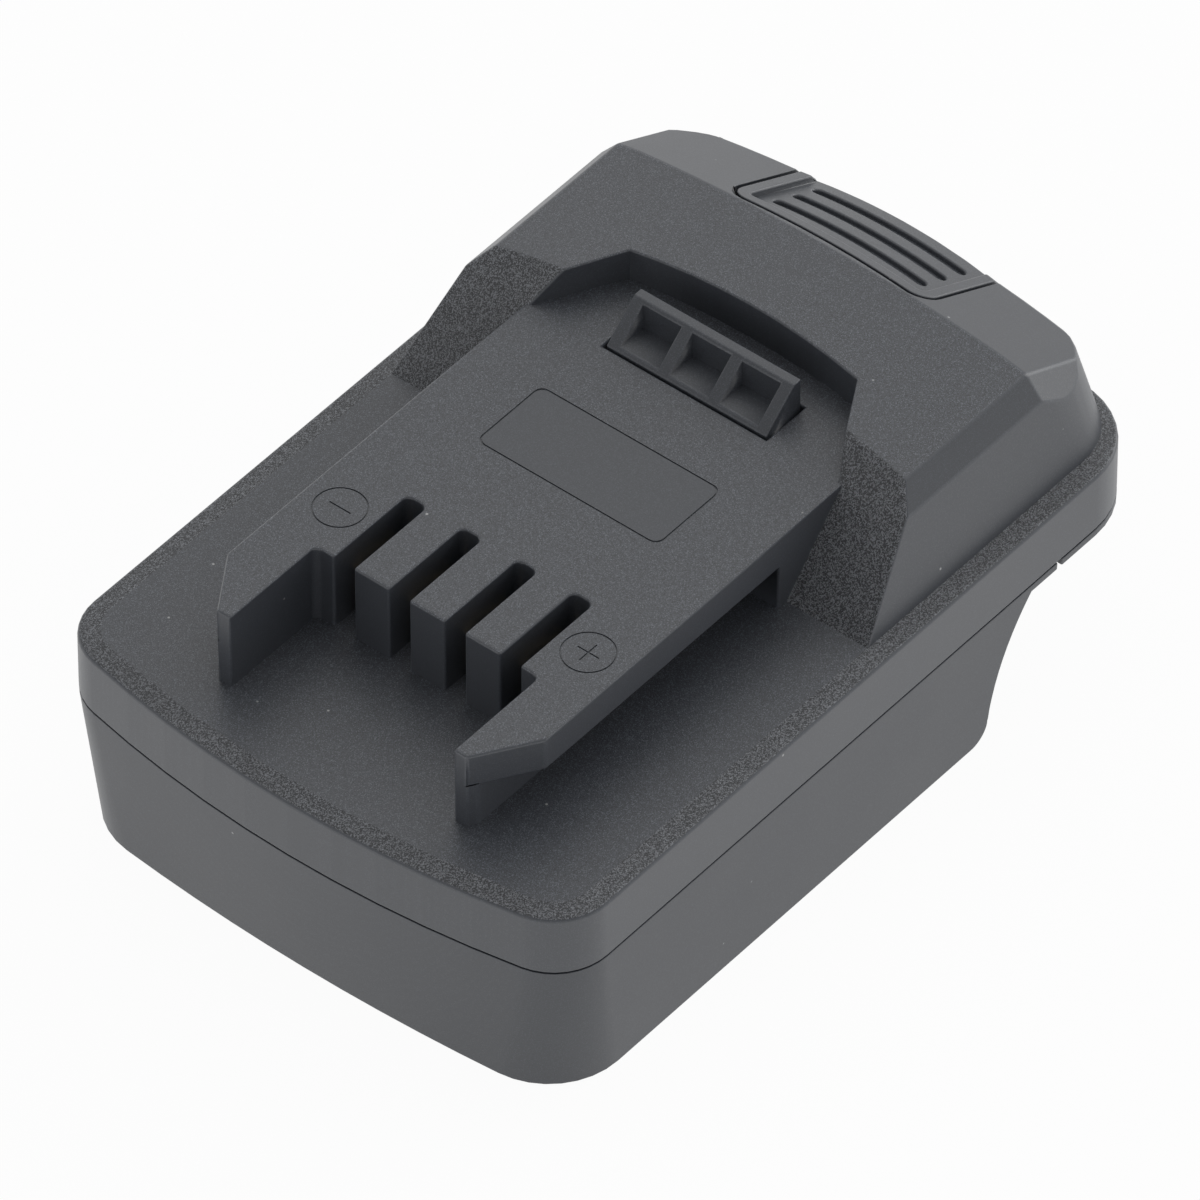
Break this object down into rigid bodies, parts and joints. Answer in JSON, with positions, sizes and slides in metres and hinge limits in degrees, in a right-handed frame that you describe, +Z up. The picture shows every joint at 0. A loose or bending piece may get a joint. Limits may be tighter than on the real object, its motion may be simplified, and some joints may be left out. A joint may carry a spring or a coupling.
{
  "type": "tool battery adapter",
  "caption": "Battery adapter for a cordless tool, with a slotted contact rail, a sprung catch and a ribbed release button.",
  "frame": {"origin": "middle of the footprint, on the surface that the case stands on", "axes": "+X to the right when seen from the prong end, +Y from the prong end to the button end, +Z up"},
  "size_m": [0.078, 0.116, 0.0468],
  "materials": {
    "case_plastic": "spark-eroded matt",
    "latch_plastic": "satin",
    "screw_steel": "zinc plated",
    "spring_steel": "drawn",
    "contact_metal": "bright",
    "insulator": "matt",
    "board_laminate": "solder mask",
    "chip_plastic": "matt",
    "red_lead": "satin",
    "black_lead": "satin",
    "yellow_lead": "satin"
  },
  "bodies": {
    "case": {"top_cover": "case_plastic", "bottom_shell": "case_plastic", "case_screws": "screw_steel", "latch_spring_left": "spring_steel", "latch_spring_right": "spring_steel", "contact_carrier": "insulator", "contact_positive": "contact_metal", "contact_negative": "contact_metal", "contact_signal_left": "contact_metal", "contact_signal_right": "contact_metal", "circuit_board": "board_laminate", "board_screws": "screw_steel", "power_transistor": "chip_plastic", "chip_resistors": "chip_plastic", "terminal_block": "insulator", "terminal_block_screws": "screw_steel", "blade_positive": "contact_metal", "blade_negative": "contact_metal", "blade_signal": "contact_metal", "wire_positive": "red_lead", "wire_negative": "black_lead", "wire_signal": "yellow_lead"},
    "latch": {"latch_slider": "latch_plastic", "release_button": "latch_plastic", "button_screws": "screw_steel"}
  },
  "joints": [
    {"name": "latch_press", "type": "slide", "parent": "case", "child": "latch", "axis": [0, 0, -1], "range_m": [0, 0.0048], "stiffness_N_per_m": 700, "springref_m": -0.004, "deforming": ["latch_spring_left", "latch_spring_right"]}
  ]
}
